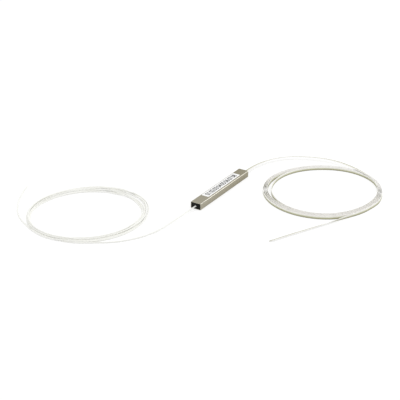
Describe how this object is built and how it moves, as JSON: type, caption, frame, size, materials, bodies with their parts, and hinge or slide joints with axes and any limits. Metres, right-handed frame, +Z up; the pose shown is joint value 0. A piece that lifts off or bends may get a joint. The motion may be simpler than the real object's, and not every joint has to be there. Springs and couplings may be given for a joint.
{
  "type": "plc fibre splitter",
  "caption": "Planar lightwave splitter in a slim steel tube: a fibre in a white loose tube at one end splits into a flat fibre ribbon at the other, both ends bare and coiled.",
  "frame": {"origin": "middle of the steel tube's underside, on the surface it lies on", "axes": "+X along the tube from the input end to the output end, +Z up, +Y across the tube to the left"},
  "size_m": [0.1929, 0.2075, 0.0046],
  "materials": {
    "satin_steel": "satin",
    "label_film": "matte",
    "black_rubber": "satin",
    "chip_silica": "polished",
    "clear_glass": "polished",
    "pad_silicone": "matte",
    "bare_glass_fibre": "clear",
    "coated_fibre": "gloss",
    "loose_tube": "satin",
    "clear_adhesive": "gloss",
    "fibre_ribbon": "satin"
  },
  "bodies": {
    "root": {"chip_lid": "clear_glass", "input_bare_fibre": "bare_glass_fibre", "input_block_lid": "clear_glass", "input_coated_fibre": "coated_fibre", "input_coil": "loose_tube", "input_end_plug": "black_rubber", "input_fibre_block": "clear_glass", "input_fibre_glue": "clear_adhesive", "input_lead": "loose_tube", "input_pad": "pad_silicone", "input_tail": "loose_tube", "input_tube_end": "loose_tube", "number_label": "label_film", "output_bare_fibre_1": "bare_glass_fibre", "output_bare_fibre_2": "bare_glass_fibre", "output_bare_fibre_3": "bare_glass_fibre", "output_bare_fibre_4": "bare_glass_fibre", "output_bare_fibre_5": "bare_glass_fibre", "output_bare_fibre_6": "bare_glass_fibre", "output_bare_fibre_7": "bare_glass_fibre", "output_bare_fibre_8": "bare_glass_fibre", "output_block_lid": "clear_glass", "output_end_plug": "black_rubber", "output_fibre_block": "clear_glass", "output_fibre_glue": "clear_adhesive", "output_pad": "pad_silicone", "output_ribbon_coil": "fibre_ribbon", "output_ribbon_end": "fibre_ribbon", "output_ribbon_lead": "fibre_ribbon", "output_ribbon_tail": "fibre_ribbon", "splitter_chip": "chip_silica", "steel_tube": "satin_steel"}
  },
  "joints": []
}
